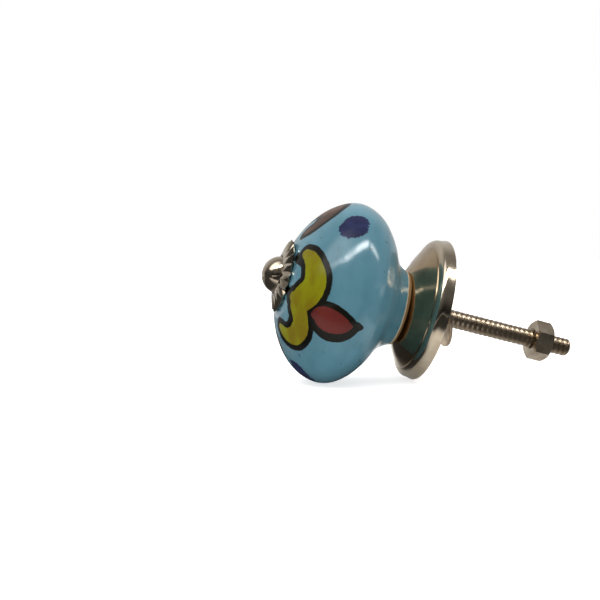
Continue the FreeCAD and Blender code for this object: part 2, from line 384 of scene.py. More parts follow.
def paint_layers(place):
    """The distance to the edge of each colour of paint, for every place on the unrolled glaze."""
    scrolls = {
        "yellow_paint": (YELLOW_SCROLL, YELLOW_CUSP, YELLOW_FACES),
        "brown_paint": (BROWN_SCROLL, BROWN_CUSP, BROWN_FACES),
        "red_paint": (RED_SCROLL, RED_CUSP, RED_FACES),
    }
    leaves = {"red_paint": YELLOW_FACES, "yellow_paint": BROWN_FACES, "brown_paint": RED_FACES}
    layers = {}
    for colour, (scroll, cusp, faces) in scrolls.items():
        leaf = brushed(place, LEAF, leaves[colour])
        layers[colour] = np.minimum.reduce([brushed(place, scroll, faces), brushed(place, cusp, faces), leaf])
    ink = np.minimum.reduce(list(layers.values())) - INK_WIDTH
    stems = ((YELLOW_STEM, YELLOW_FACES), (BROWN_STEM, BROWN_FACES), (RED_STEM, RED_FACES))
    for stem, faces in stems:
        ink = np.minimum(ink, brushed(place, stem, faces))
        ink = np.minimum(ink, brushed(place, LEAF_TIP, faces))
        ink = np.minimum(ink, brushed(place, LEAF_SHADE, faces))
    for thick_line in (YELLOW_SHADE, YELLOW_POCKET_UP, YELLOW_POCKET_DOWN):
        ink = np.minimum(ink, brushed(place, thick_line, YELLOW_FACES))
    layers["ink"] = ink
    dots = ((DOT_UP, DOT_UP_FACES), (DOT_DOWN, DOT_DOWN_FACES), (DOT_AWAY, DOT_AWAY_FACES))
    layers["blue_paint"] = np.minimum.reduce([brushed(place, dot, faces) for dot, faces in dots])
    return layers


# Ceramic body

BODY_BORE_RADIUS = 2.7
BODY_INSIDE = 0.01           # keeps the skewed rings within the turned ones
BODY_SEGMENTS = 360
BODY_RING_STEP = 0.3
FRONT_PAD_RADIUS = 4.35
FRONT_PAD_ROUND = 0.8
FRONT_CONE_RADIUS = 8.5
FRONT_CONE_DEPTH = 0.46
FRONT_CONE_ROUND = 1.2
BELLY_FROM_NECK_END = 13.6
BELLY_FULLNESS = 1.85        # 2 is an ellipse, and less draws the belly out to a soft ridge
BELLY_RINGS = 60             # from the widest circle to either end
BELLY_SKEW = 0.04            # how far a ring hangs off the axis, as a share of its way from the belly
SKEW_GROWS_OVER = 5.0
SKEW_FADES_FROM_ROOT = -2.0  # along the screw from the neck's root
SKEW_GONE_FROM_ROOT = 1.0
NECK_ROOT_RADIUS = 9.4
NECK_LENGTH = 3.1
NECK_END_RADIUS = 8.2
NECK_END_ROUND = 0.3
NECK_SEAT_RADIUS = 6.0
NECK_FILLET = 2.4
NECK_FLARE = 0.4             # how far the neck's outer edge stands out towards the rosette
SOFT_BEFORE_ROOT = 5.0       # the outline is made soft from here before the neck's root
SOFT_UP_TO_END = 0.5         # to here before its end
SOFT_GROWS_OVER = 1.5
SOFT_FADES_OVER = 0.8
SOFT_PASSES = 60


def half_round(radius, belly, end, clear):
    """The body's outline from its widest circle to this end of it, without the last stretch."""
    full_turn = math.acos(end[0] / radius)
    power = 2 / BELLY_FULLNESS
    depth = (end[1] - belly) / math.sin(full_turn) ** power
    points = []
    for turn in np.linspace(0, full_turn, BELLY_RINGS):
        place = (radius * math.cos(turn), belly + depth * math.sin(turn) ** power)
        if math.dist(place, end) > clear:
            points.append(place)
    return points


def softened(points, low, high):
    """The body's outline with its bends between two heights made soft, but not in the bore."""
    places = np.array(points)
    share = eased(places[:, 1], low, low + SOFT_GROWS_OVER)
    share *= 1 - eased(places[:, 1], high - SOFT_FADES_OVER, high)
    share[places[:, 0] < BODY_BORE_RADIUS + 1] = 0
    for _ in range(SOFT_PASSES):
        middle = (places[:-2] + places[2:]) / 2
        places[1:-1] += (middle - places[1:-1]) * 0.5 * share[1:-1, None]
    return [tuple(place) for place in places]


def body_outline(low, high, belly):
    """From the front hole over the belly and the neck to its end, and back to the middle of the bore."""
    radius = (high.x - low.x) / 2 - BODY_INSIDE
    cone_edge = (FRONT_CONE_RADIUS, low.y + FRONT_CONE_DEPTH)
    root = (NECK_ROOT_RADIUS, high.y - NECK_LENGTH)
    outline = [
        (BODY_BORE_RADIUS, low.y),
        (FRONT_PAD_RADIUS, low.y, FRONT_PAD_ROUND),
        (*cone_edge, FRONT_CONE_ROUND),
    ]
    outline += reversed(half_round(radius, belly, cone_edge, FRONT_CONE_ROUND))
    outline += half_round(radius, belly, root, NECK_FILLET)[1:]
    outline += [
        (*root, NECK_FILLET),
        (NECK_END_RADIUS, high.y + NECK_FLARE, NECK_END_ROUND),
        (NECK_SEAT_RADIUS, high.y),
        (BODY_BORE_RADIUS, high.y),
    ]
    outline = spaced(rounded(outline), BODY_RING_STEP)
    outline = softened(outline, root[1] - SOFT_BEFORE_ROOT, high.y - SOFT_UP_TO_END)
    outline.append((BODY_BORE_RADIUS, (low.y + high.y) / 2))
    return outline


def skewed(places, belly, neck_end):
    """The body was shaped by hand: its front half hangs a little low and its back half stands high."""
    away = places[:, 1] - belly
    radius = np.hypot(places[:, 0], places[:, 2])
    root = neck_end - NECK_LENGTH
    share = eased(np.abs(away), 0, SKEW_GROWS_OVER)
    share *= eased(radius, FRONT_PAD_RADIUS, FRONT_CONE_RADIUS)
    share *= 1 - eased(places[:, 1], root + SKEW_FADES_FROM_ROOT, root + SKEW_GONE_FROM_ROOT)
    places[:, 2] += BELLY_SKEW * away * share
    return places


def unrolled(places, outline):
    """Where each place lies when the glaze is rolled out flat round the middle of the front."""
    steps = np.hypot(*np.diff(outline, axis=0).T)
    walked = np.concatenate([[0], np.cumsum(steps)]) + BODY_BORE_RADIUS
    walked = np.repeat(walked, BODY_SEGMENTS)
    turn = np.arctan2(places[:, 2], places[:, 0])
    return np.stack([walked * np.cos(turn), walked * np.sin(turn)], axis=1)


def glazed_body():
    low, high = node_box("ceramic_body")
    belly = high.y - BELLY_FROM_NECK_END
    outline = body_outline(low, high, belly)
    piece = turned("glazed_body", outline, BODY_SEGMENTS)
    mesh = piece.data
    places = skewed(mesh_places(mesh), belly, high.y)
    mesh.vertices.foreach_set("co", (places * MM).ravel())
    for layer, distance in paint_layers(unrolled(places, outline)).items():
        set_attribute(mesh, layer, distance)
    moved(piece, z=(high.z + low.z) / 2)
    smooth(piece, 50)
    return dressed(piece, glaze_finish(high.y + NECK_FLARE), "ceramic_body")


# Glaze and paint

GLAZE_DEEP = srgb(74, 119, 134)
GLAZE_PALE = srgb(86, 132, 148)
GLAZE_GLOSS = 0.9
GLAZE_STOPS = 0.9            # the bare clay at the end of the neck
GLAZE_STOPS_UNEVENLY = 0.9
SPECK_COLOUR = srgb(30, 44, 40)
SPECKS = 0.55                # how dark the specks in the glaze are
PAINTS = (                   # from the first to the last on: deep, pale, and how ragged its edge is
    ("ink", srgb(10, 10, 5), srgb(19, 18, 11), 0.35),
    ("yellow_paint", srgb(116, 102, 4), srgb(128, 130, 6), 0.3),
    ("red_paint", srgb(84, 28, 25), srgb(102, 37, 32), 0.3),
    ("brown_paint", srgb(58, 38, 26), srgb(82, 56, 40), 0.3),
    ("blue_paint", srgb(24, 28, 58), srgb(40, 48, 92), 1.9),
)
PAINT_GLOSS = 0.4
PAINT_EDGE = 0.12            # half the width over which paint thins out
# bare clay: darker away from the glaze, partly its own colour and partly painted shade of the gap at the
# rosette
CLAY_DARK = srgb(112, 88, 56)
CLAY_PALE = srgb(142, 114, 78)
CLAY_AT_GLAZE = srgb(206, 186, 160)
CLAY_EDGE = 0.1
CLAY_PALE_UP_TO = 0.3
PEEL_DEPTH = 0.15            # as shares of the relief
PAINT_DEPTH = 0.25
RINGS_DEPTH = 4.5
RINGS_FROM_END = 10.0        # turning rings show through the glaze on the shoulder and the neck
GLAZE_RELIEF = 0.08


def glaze_colour(tree, place, mottle):
    """Thick and thin glaze in clouds and faint bands, with a few dark specks."""
    bands = cloud(tree, place, 5, detail=2, stretch=(0.25, 1.6, 0.25), shift=(0.7, 0, 0))
    shade = plus(tree, times(tree, mottle, 0.6), times(tree, bands, 0.4))
    glaze = blended(tree, ramp(tree, shade, 0.34, 0.66), GLAZE_DEEP, GLAZE_PALE)
    specks = cloud(tree, place, 1.3, detail=2, roughness=0.4, shift=(0.13, 0.4, 0.2))
    speck = times(tree, ramp(tree, specks, 0.71, 0.76), SPECKS)
    return blended(tree, speck, glaze, SPECK_COLOUR)


def painted_over(tree, place, brush, colour):
    """The colour with every layer of paint on it, and where there is any paint."""
    wobble = cloud(tree, place, 0.9, detail=2)
    ragged = cloud(tree, place, 0.7, detail=4, roughness=0.7, shift=(0.3, 0.1, 0))
    thickness = ramp(tree, brush, 0.36, 0.64)
    painted = 0.0
    for layer, deep, pale, raggedness in PAINTS:
        edge = ragged if layer == "blue_paint" else wobble
        shaken = times(tree, minus(tree, edge, 0.5), raggedness)
        distance = add(tree, "ShaderNodeAttribute", attribute_name=layer).outputs["Fac"]
        mask = ramp(tree, plus(tree, distance, shaken), -PAINT_EDGE, PAINT_EDGE, 1, 0)
        colour = blended(tree, mask, colour, blended(tree, thickness, deep, pale))
        painted = math_node(tree, "MAXIMUM", painted, mask)
    return colour, painted


def bare_at_end(tree, along, mottle, brush, colour, neck_end):
    """The colour with bare clay at the neck's end, and where the clay is. The clay is pale beside the glaze
    and darker further on: partly the clay's own colour and partly painted shade of the gap at the rosette.
    """
    uneven = times(tree, minus(tree, mottle, 0.5), GLAZE_STOPS_UNEVENLY * MM)
    past_glaze = minus(tree, plus(tree, along, uneven), (neck_end - GLAZE_STOPS) * MM)
    clay = ramp(tree, past_glaze, -CLAY_EDGE * MM, CLAY_EDGE * MM)
    further = ramp(tree, past_glaze, CLAY_EDGE * MM, CLAY_PALE_UP_TO * MM)
    clay_colour = blended(tree, further, CLAY_AT_GLAZE, blended(tree, brush, CLAY_DARK, CLAY_PALE))
    return blended(tree, clay, colour, clay_colour), clay


def glaze_relief(tree, place, along, painted, clay, neck_end):
    """Waves in the glaze, raised paint, gritty clay, and turning rings on the shoulder and the neck."""
    peel = cloud(tree, place, 1.6, detail=2)
    grit = times(tree, cloud(tree, place, 0.25, detail=3), clay)
    rings = cloud(tree, place, 1.3, detail=2, stretch=(0.12, 1, 0.12), shift=(0, 0.35, 0))
    rings_start = (neck_end - RINGS_FROM_END) * MM
    rings_full = (neck_end - NECK_LENGTH) * MM
    on_neck = ramp(tree, along, rings_start, rings_full, 0, RINGS_DEPTH)
    height = plus(tree, times(tree, peel, PEEL_DEPTH), grit)
    height = plus(tree, height, times(tree, painted, PAINT_DEPTH))
    height = plus(tree, height, times(tree, rings, on_neck))
    bump = add(tree, "ShaderNodeBump", {"Height": height, "Strength": 0.35, "Distance": GLAZE_RELIEF * MM})
    return bump.outputs[0]


def glaze_finish(neck_end):
    """A clear coat over a matt base that carries the colours. Paint has less of it and bare clay none."""
    material, tree, shader = new_material("turquoise glaze with painted scrolls")
    place = object_place(tree)
    along = add(tree, "ShaderNodeSeparateXYZ", {0: place}).outputs["Y"]
    mottle = cloud(tree, place, 9, detail=5)
    brush = cloud(tree, place, 5.0, detail=3, stretch=(1, 0.6, 0.6))
    colour = glaze_colour(tree, place, mottle)
    colour, painted = painted_over(tree, place, brush, colour)
    colour, clay = bare_at_end(tree, along, mottle, brush, colour, neck_end)
    gloss = ramp(tree, painted, 0, 1, GLAZE_GLOSS, PAINT_GLOSS)
    relief = glaze_relief(tree, place, along, painted, clay, neck_end)
    feed(tree, shader, {
        "Base Color": colour, "Roughness": 0.6, "Specular IOR Level": 0.05, "Normal": relief,
        "Coat Weight": times(tree, gloss, ramp(tree, clay, 0, 1, 1, 0)), "Coat Roughness": 0.13,
        "Coat IOR": 1.5, "Coat Normal": relief,
    })
    return material


# Plated metal

METAL_RELIEF = 0.02
TARNISH_COLOUR = srgb(58, 48, 38)
TARNISH_ROUGHENS = 0.35


def plating_group():
    """Worn plating: a soft change of tone, fine dull grain and small dark specks of tarnish."""
    group, given, result = shader_group(
        "worn plating",
        [("Bright", "NodeSocketColor"), ("Dull", "NodeSocketColor"), ("Polish", "NodeSocketFloat"),
         ("Grain", "NodeSocketFloat"), ("Tarnish", "NodeSocketFloat")],
        [("Colour", "NodeSocketColor"), ("Roughness", "NodeSocketFloat"), ("Height", "NodeSocketFloat")],
    )
    place = object_place(group)
    tone = cloud(group, place, 4, detail=4)
    grain = cloud(group, place, 0.35, detail=4, roughness=0.65)
    specks = cloud(group, place, 0.9, detail=5, roughness=0.75, shift=(0.2, 0.5, 0.1))
    colour = blended(group, ramp(group, tone, 0.35, 0.7), given.outputs["Bright"], given.outputs["Dull"])
    speck = times(group, ramp(group, specks, 0.6, 0.74), given.outputs["Tarnish"])
    rough = plus(group, given.outputs["Polish"], times(group, grain, given.outputs["Grain"]))
    feed(group, result, {
        "Colour": blended(group, speck, colour, TARNISH_COLOUR),
        "Roughness": plus(group, rough, times(group, speck, TARNISH_ROUGHENS)),
        "Height": grain,
    })
    return group


PLATING = plating_group()


def plated(name, bright, dull, polish, grain, tarnish, bump, shaded=None):
    """Plated metal. shaded(tree, colour, roughness) may change the two over the piece."""
    material, tree, shader = new_material(name)
    wear = add(tree, "ShaderNodeGroup", {
        "Bright": bright, "Dull": dull, "Polish": polish, "Grain": grain, "Tarnish": tarnish,
    }, node_tree=PLATING)
    colour, rough = wear.outputs["Colour"], wear.outputs["Roughness"]
    if shaded:
        colour, rough = shaded(tree, colour, rough)
    relief = add(tree, "ShaderNodeBump", {
        "Height": wear.outputs["Height"], "Strength": bump, "Distance": METAL_RELIEF * MM,
    })
    feed(tree, shader, {
        "Base Color": colour, "Roughness": rough, "Metallic": 1.0, "Normal": relief.outputs[0],
    })
    return material


# Pleated front cap

CAP_PLEATS = 20
CAP_SHEET = 0.28
CAP_VALLEY = 0.42            # how far the valleys lie behind the ridges at the edge
CAP_TIP_DEPTH = 1.2          # how far the tips lie behind the lip
CAP_DISH_DEPTH = 1.2
PLEAT_COLUMNS = 12
PLEAT_ROWS = 14


def pleated_cap():
    """One pleat is modelled, and the rest are copies of it set round the screw."""
    low, high = node_box("front_cap")
    middle_z = (low.z + high.z) / 2
    tip = (high.z - low.z) / 2
    notch = tip - 0.75
    screw_low, screw_high = node_box("screw")
    head = (screw_high.z - screw_low.z) / 2
    wall = head + 0.15
    lip = wall + 0.45
    columns = []
    for column in range(PLEAT_COLUMNS + 1):
        side = column / PLEAT_COLUMNS * 2 - 1
        turn = side * math.pi / CAP_PLEATS
        fold = abs(side) ** 1.15
        edge = tip + (notch - tip) * fold
        edge_y = low.y + CAP_TIP_DEPTH + CAP_VALLEY * fold
        section = [
            (head * 0.56, low.y + CAP_SHEET + CAP_DISH_DEPTH),
            (wall, low.y + CAP_SHEET + CAP_DISH_DEPTH),
            (wall, low.y + 0.12),
            (wall + 0.15, low.y),
            (lip, low.y + 0.1),
        ]
        for row in range(1, PLEAT_ROWS + 1):
            share = row / PLEAT_ROWS
            belly = 0.10 * math.sin(math.pi * share)
            section.append((lip + (edge - lip) * share, low.y + 0.1 + (edge_y - low.y - 0.1) * share - belly))
        for radius, y in reversed(section[4:]):
            section.append((max(wall + 0.2, radius - 0.12), y + CAP_SHEET))
        section.append((wall + 0.2, low.y + 2 * CAP_SHEET + CAP_DISH_DEPTH))
        section.append((head * 0.56, low.y + 2 * CAP_SHEET + CAP_DISH_DEPTH))
        columns.append([(r * math.cos(turn), y, r * math.sin(turn)) for r, y in section])
    rows = len(columns[0])
    points = [point for column in columns for point in column]
    faces = []
    for column in range(PLEAT_COLUMNS):
        for row in range(rows):
            after = (row + 1) % rows
            faces.append([column * rows + row, column * rows + after,
                          (column + 1) * rows + after, (column + 1) * rows + row])
    piece = shaped("pleated_cap", points, faces)
    finish = plated(
        "bright nickel of the cap", srgb(198, 186, 166), srgb(166, 152, 132),
        polish=0.06, grain=0.06, tarnish=0.3, bump=0.3,
    )
    grown(piece, pleat_tree(), finish, {"Pleats": CAP_PLEATS, "Join": 0.004 * MM})
    moved(piece, z=middle_z)
    smooth(piece, 28)
    return dressed(piece, finish, "front_cap")


def pleat_tree():
    tree, given, result = geometry_tree("pleats round the screw", ["Pleats", "Join"])
    spots = add(tree, "GeometryNodePoints", {"Count": given.outputs["Pleats"]})
    index = add(tree, "GeometryNodeInputIndex").outputs[0]
    step = math_node(tree, "DIVIDE", 2 * math.pi, given.outputs["Pleats"])
    turn = add(tree, "ShaderNodeCombineXYZ", {"Y": times(tree, index, step)})
    rotation = add(tree, "FunctionNodeEulerToRotation", {0: turn.outputs[0]})
    copies = add(tree, "GeometryNodeInstanceOnPoints", {
        "Points": spots.outputs[0], "Instance": given.outputs["Geometry"], "Rotation": rotation.outputs[0],
    })
    real = add(tree, "GeometryNodeRealizeInstances", {"Geometry": copies.outputs[0]})
    joined = add(tree, "GeometryNodeMergeByDistance", {
        "Geometry": real.outputs[0], "Distance": given.outputs["Join"],
    })
    finished = add(tree, "GeometryNodeSetMaterial", {
        "Geometry": joined.outputs[0], "Material": given.outputs["Finish"],
    })
    tree.links.new(finished.outputs[0], result.inputs[0])
    return tree


# Screw

THREAD_PITCH = 1.17
THREAD_DEPTH = 0.1
THREAD_FROM = -8.0           # hidden in the body's bore before that
THREAD_SEGMENTS = 72
THREAD_ROWS = 13             # rings to each turn of the thread
HEAD_RIM = 0.5
SCREW_RADIUS = 2.0


def long_screw():
    low, high = node_box("screw")
    middle_z = (low.z + high.z) / 2
    head = (high.z - low.z) / 2
    rod = SCREW_RADIUS
    tip_chamfer = 0.6
    dome = 4.05
    floor = low.y + dome + HEAD_RIM
    ball = (head ** 2 + dome ** 2) / (2 * dome)
    full_turn = 2 * math.atan2(dome, head)
    outline = [(0, low.y)]
    for step in range(1, 33):
        turn = full_turn * step / 32
        outline.append((ball * math.sin(turn), low.y + ball * (1 - math.cos(turn))))
    outline[-1] = (head, low.y + dome)
    outline += rounded([(head, low.y + dome), (head, floor, 0.12), (rod, floor, 0.1), (rod, floor + 1)])[1:]
    outline.append((rod, THREAD_FROM))
    rows = int((high.y - tip_chamfer - THREAD_FROM) / THREAD_PITCH * THREAD_ROWS)
    for row in range(1, rows + 1):
        outline.append((rod, THREAD_FROM + (high.y - tip_chamfer - THREAD_FROM) * row / rows))
    for row in range(1, 7):
        share = row / 6
        outline.append((rod - tip_chamfer * share ** 1.4, high.y - tip_chamfer * (1 - share)))
    outline += [(0.7, high.y), (0, high.y)]
    piece = turned("long_screw", outline, THREAD_SEGMENTS)
    finish = plated(
        "warm nickel of the screw", srgb(196, 182, 162), srgb(172, 156, 134),
        polish=0.07, grain=0.08, tarnish=0.4, bump=0.4, shaded=thread_with_groove_shade,
    )
    sizes = {
        "Pitch": THREAD_PITCH * MM, "Depth": THREAD_DEPTH * MM, "Start": THREAD_FROM * MM,
        "Runout": 2 * THREAD_PITCH * MM, "Radius": rod * MM,
    }
    grown(piece, thread_tree(), finish, sizes)
    moved(piece, z=middle_z)
    smooth(piece, 60)
    return dressed(piece, finish, "screw")


def thread_with_groove_shade(tree, colour, rough):
    """The thread is duller and darker than the head, and painted shade darkens it most in its grooves."""
    low, high = node_box("screw")
    parts = add(tree, "ShaderNodeSeparateXYZ", {0: object_place(tree)})
    on_thread = ramp(tree, parts.outputs["Y"], THREAD_FROM * MM, (THREAD_FROM + 2) * MM)
    level = minus(tree, parts.outputs["Z"], (low.z + high.z) / 2 * MM)
    flat = add(tree, "ShaderNodeCombineXYZ", {"X": parts.outputs["X"], "Z": level})
    radius = add(tree, "ShaderNodeVectorMath", {0: flat.outputs[0]}, operation="LENGTH").outputs["Value"]
    # painted shade: the thread's colour is darkest down in the grooves
    groove = ramp(tree, radius, (SCREW_RADIUS - THREAD_DEPTH) * MM, SCREW_RADIUS * MM, 1, 0)
    thread_tone_and_groove_shade = blended(tree, groove, srgb(140, 122, 100), srgb(104, 86, 66))
    colour = blended(tree, times(tree, on_thread, 0.65), colour, thread_tone_and_groove_shade)
    return colour, plus(tree, rough, times(tree, on_thread, 0.22))


def thread_tree():
    """Sinks a helical groove into a rod along Y, from the start towards +Y."""
    tree, given, result = geometry_tree("screw thread", ["Pitch", "Depth", "Start", "Runout", "Radius"])
    place = add(tree, "GeometryNodeInputPosition").outputs[0]
    parts = add(tree, "ShaderNodeSeparateXYZ", {0: place})
    x, y, z = parts.outputs
    angle = math_node(tree, "DIVIDE", math_node(tree, "ARCTAN2", z, x), 2 * math.pi)
    turns = plus(tree, math_node(tree, "DIVIDE", y, given.outputs["Pitch"]), angle)
    phase = math_node(tree, "FRACT", turns)
    away = math_node(tree, "ABSOLUTE", minus(tree, phase, 0.5))
    groove = ramp(tree, away, 0.04, 0.46, 1, 0)
    since = minus(tree, y, given.outputs["Start"])
    grown_in = math_node(tree, "DIVIDE", since, given.outputs["Runout"], clamp=True)
    sink = times(tree, times(tree, groove, given.outputs["Depth"]), grown_in)
    threaded = minus(tree, given.outputs["Radius"], sink)
    flat = add(tree, "ShaderNodeCombineXYZ", {"X": x, "Z": z})
    radius = add(tree, "ShaderNodeVectorMath", {0: flat.outputs[0]}, operation="LENGTH").outputs["Value"]
    kept = math_node(tree, "MINIMUM", radius, threaded)
    share = math_node(tree, "DIVIDE", kept, radius)
    on_thread = math_node(tree, "GREATER_THAN", y, given.outputs["Start"])
    new_place = add(tree, "ShaderNodeCombineXYZ", {
        "X": times(tree, x, share), "Y": y, "Z": times(tree, z, share),
    })
    cut = add(tree, "GeometryNodeSetPosition", {
        "Geometry": given.outputs["Geometry"], "Selection": on_thread, "Position": new_place.outputs[0],
    })
    real = add(tree, "GeometryNodeRealizeInstances", {"Geometry": cut.outputs[0]})
    finished = add(tree, "GeometryNodeSetMaterial", {
        "Geometry": real.outputs[0], "Material": given.outputs["Finish"],
    })
    tree.links.new(finished.outputs[0], result.inputs[0])
    return tree


# Rosette

PLATE_SEGMENTS = 256


def rosette():
    low, high = node_box("backplate")
    edge = (high.x - low.x) / 2
    height = high.y - low.y
    waist = edge - 0.35
    sheet = 0.6
    bore = 2.6
    outer = [
        (edge - sheet, 0, 0.15), (edge, 0, 0.15), (edge - 0.1, -0.45), (edge - 0.22, -0.9),
        (waist + 0.04, -1.4), (waist, -1.8), (waist - 0.08, -2.1),
        (edge - 0.7, -2.55, 0.25), (edge - 1.3, -2.9, 0.25), (edge - 2.0, -3.15, 0.1), (edge - 2.2, -3.4, 0.1),
        (12.5, -4.05), (12.0, -4.35), (11.6, -4.6), (10.4, -5.2), (9.2, -5.85), (7.8, -6.55, 0.5),
        (6.2, -height + 0.08, 0.5), (4.5, -height), (bore, -height, 0.1),
    ]
    inner = [
        (bore, -height + sheet, 0.1), (4.4, -height + sheet), (6.0, -height + 0.7, 0.5), (7.5, -5.95, 0.5),
        (9.0, -5.2), (12.2, -3.4, 0.3),
        (edge - 1.4, -2.35, 0.3), (edge - 0.95, -1.8, 0.3), (edge - 0.9, -0.9),
    ]
    piece = turned("rosette", rounded(outer + inner + [(edge - sheet, 0)])[:-1], PLATE_SEGMENTS)
    smooth(piece, 40)
    finish = plated(
        "polished nickel of the rosette", srgb(204, 190, 168), srgb(188, 172, 150),
        polish=0.1, grain=0.06, tarnish=0.12, bump=0.15, shaded=dome_in_painted_shade,
    )
    return dressed(piece, finish, "backplate")


def dome_in_painted_shade(tree, colour, rough):
    """The dome is painted darker and browner than the rim, as painted shade for the gap behind the body."""
    y = add(tree, "ShaderNodeSeparateXYZ", {0: object_place(tree)}).outputs["Y"]
    on_dome = ramp(tree, y, -3.3 * MM, -2.7 * MM, 1, 0)
    # painted shade: the dome's colour multiplied by a warm grey
    painted_shade_tint = blended(tree, 1.0, colour, srgb(218, 206, 188), "MULTIPLY")
    return blended(tree, on_dome, colour, painted_shade_tint), rough


# Washer and nut

WASHER_LEAN = 20.0
NUT_FLATS_TURN = -5.0
NUT_CHAMFER_SLOPE = math.tan(math.radians(30))


def plain_washer():
    low, high = node_box("flat_washer")
    outer = (high.x - low.x) / 2
    bore = outer - 3.55
    half = 0.3
    outline = rounded([
        (bore, 0), (bore, -half, 0.08), (outer, -half, 0.2),
        (outer, half, 0.1), (bore, half, 0.08), (bore, 0.01),
    ])
    piece = turned("plain_washer", outline, 128)
    moved(piece, y=(low.y + high.y) / 2, z=(low.z + high.z) / 2, lean=WASHER_LEAN)
    smooth(piece, 40)
    finish = plated(
        "nickel of the washer", srgb(194, 178, 156), srgb(160, 142, 120),
        polish=0.22, grain=0.2, tarnish=0.5, bump=0.6,
    )
    return dressed(piece, finish, "flat_washer")


def hexagon_nut():
    low, high = node_box("hex_nut")
    middle_y = (low.y + high.y) / 2
    half = (high.y - low.y) / 2
    middle_z = (low.z + high.z) / 2
    flats = 3.9
    corner = flats / math.cos(math.pi / 6)
    turn = math.radians(NUT_FLATS_TURN)

    def hexed(angles, radii, heights):
        """Outside the round face, rings take the nut's hexagon and the faces slope back to its corners."""
        outside = radii[0] > flats
        if not outside:
            return radii, heights
        swing = (angles - turn + math.pi / 6) % (math.pi / 3) - math.pi / 6
        hexagon = flats / np.cos(swing)
        reach = np.minimum(hexagon, flats + (radii - flats) / (corner - flats) * (hexagon - flats))
        at_face = np.abs(heights) > half * 0.9
        sloped = np.sign(heights) * (half - (reach - flats) * NUT_CHAMFER_SLOPE)
        return reach, np.where(at_face, sloped, heights)

    bore = 2.06
    outline = [(bore, 0), (bore, -half + 0.4), (bore + 0.4, -half), (flats, -half), (corner * 0.97, -half)]
    outline += [(corner, -half), (corner, -half * 0.5), (corner, 0), (corner, half * 0.5), (corner, half)]
    outline += [(corner * 0.97, half), (flats, half), (bore + 0.4, half), (bore, half - 0.4)]
    piece = turned("nut", outline, 288, hexed)
    moved(piece, y=middle_y, z=middle_z)
    smooth(piece, 20)
    finish = plated(
        "nickel of the nut", srgb(200, 186, 164), srgb(168, 152, 130),
        polish=0.14, grain=0.16, tarnish=0.4, bump=0.6,
    )
    return dressed(piece, finish, "hex_nut")


# Camera. It is placed from where the part lies in the picture: the pixel that
# shows the part's origin, how far off it is, how much the screw's far end
# turns away from the picture, and how much the screw slopes down in it.

PICTURE = 600
FOCAL_PIXELS = 1025.0
ORIGIN_PIXEL = (428.1, 310.1)
ORIGIN_AWAY = 226.96
SCREW_TURNS_AWAY = math.radians(10.25)
SCREW_SLOPES = math.radians(14.02)


def camera_axes():
    """The picture's right, down and away directions and the camera's place, in the part's axes."""
    turn, slope = SCREW_TURNS_AWAY, SCREW_SLOPES
    along = Vector((math.cos(turn) * math.cos(slope), math.cos(turn) * math.sin(slope), math.sin(turn)))
    near = Vector((math.sin(turn) * math.cos(slope), math.sin(turn) * math.sin(slope), -math.cos(turn)))
    up = Vector((math.sin(slope), -math.cos(slope), 0))
    to_part = Matrix((near, along, up))
    middle = PICTURE / 2
    origin = Vector(((ORIGIN_PIXEL[0] - middle) / FOCAL_PIXELS, (ORIGIN_PIXEL[1] - middle) / FOCAL_PIXELS, 1))
    right, down, away = (to_part @ Vector(axis) for axis in ((1, 0, 0), (0, 1, 0), (0, 0, 1)))
    return right, down, away, to_part @ (-origin * ORIGIN_AWAY)


def set_camera():
    right, down, away, place = camera_axes()
    data = bpy.data.cameras.new("camera")
    data.sensor_width = 36
    data.lens = FOCAL_PIXELS / PICTURE * data.sensor_width
    data.clip_start = 0.005
    camera = bpy.data.objects.new("camera", data)
    axes = Matrix((right, -down, -away)).transposed().to_4x4()
    camera.matrix_world = Matrix.Translation(place * MM) @ axes
    bpy.context.scene.collection.objects.link(camera)
    bpy.context.scene.camera = camera


# Studio. Its things are placed over the table that the belly and the rosette's
# rim lie on: x towards the camera's side, y along the table as the screw runs,
# and z up from it.

ROOM_FILL = 0.3
FLOOR_TONE = 0.68
SHADOW_LIFT = 0.72           # the floor's own light for the camera, so that it is white with a faint shadow
SHADOW_CORE = 60.0
SHADOW_REACH = 300.0
TABLE_REACH = 2500.0
FLOOR_BOUNCE = 0.42
FLOOR_SHEEN = 0.18
LAMP_HEIGHT = 350.0
SKY_HEIGHT = 800.0
SKY_WIDTH = 1600.0
SKY_WATTS = 17.0
ROOM_RADIUS = 2000.0


def on_table(thing):
    """Moves a studio thing's mesh or lamp from the table's axes to the part's."""
    body_low, body_high = node_box("ceramic_body")
    plate_low, plate_high = node_box("backplate")
    belly = body_high.y - BELLY_FROM_NECK_END
    slope = math.atan2(plate_low.z - body_low.z, plate_high.y - belly)
    place = Matrix.Translation(Vector((0, belly, body_low.z - 0.02)) * MM) @ Matrix.Rotation(slope, 4, "X")
    if thing.type == "MESH":
        thing.data.transform(place)
    else:
        thing.matrix_world = place @ thing.matrix_world


def set_world():
    world = bpy.data.worlds.new("white room")
    world.use_nodes = True
    tree = world.node_tree
    tree.nodes.clear()
    path = add(tree, "ShaderNodeLightPath")
    seen = math_node(tree, "MAXIMUM", path.outputs["Is Camera Ray"], path.outputs["Is Glossy Ray"])
    seen = math_node(tree, "MAXIMUM", seen, path.outputs["Is Transmission Ray"])
    strength = ramp(tree, seen, 0, 1, ROOM_FILL, 1)
    light = add(tree, "ShaderNodeBackground", {"Color": (1, 1, 1, 1), "Strength": strength})
    out = add(tree, "ShaderNodeOutputWorld")
    tree.links.new(light.outputs[0], out.inputs["Surface"])
    bpy.context.scene.world = world
    bpy.context.scene.view_settings.view_transform = "Standard"


